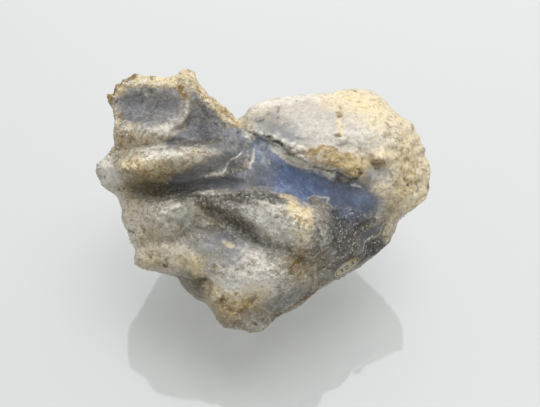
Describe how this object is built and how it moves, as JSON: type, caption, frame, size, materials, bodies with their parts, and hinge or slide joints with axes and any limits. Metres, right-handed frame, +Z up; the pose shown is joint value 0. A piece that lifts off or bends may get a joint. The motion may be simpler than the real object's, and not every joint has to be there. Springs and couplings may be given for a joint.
{
  "type": "chalcedony specimen",
  "caption": "Grey-blue translucent chalcedony hand specimen with a pale crystalline lobe, iron stains and a small round collector's number label.",
  "frame": {"origin": "middle of the small flat that the stone rests on, at floor level", "axes": "+X to the stone's right as its showing side is seen, +Y to its back, +Z up; the showing side slopes back and faces -Y and +Z"},
  "size_m": [0.0887, 0.0693, 0.0607],
  "materials": {
    "chalcedony": "rough broken, waxy and translucent where fresh",
    "label_paper": "matt, aged"
  },
  "bodies": {
    "root": {"stone": "chalcedony", "number_label": "label_paper"}
  },
  "joints": []
}
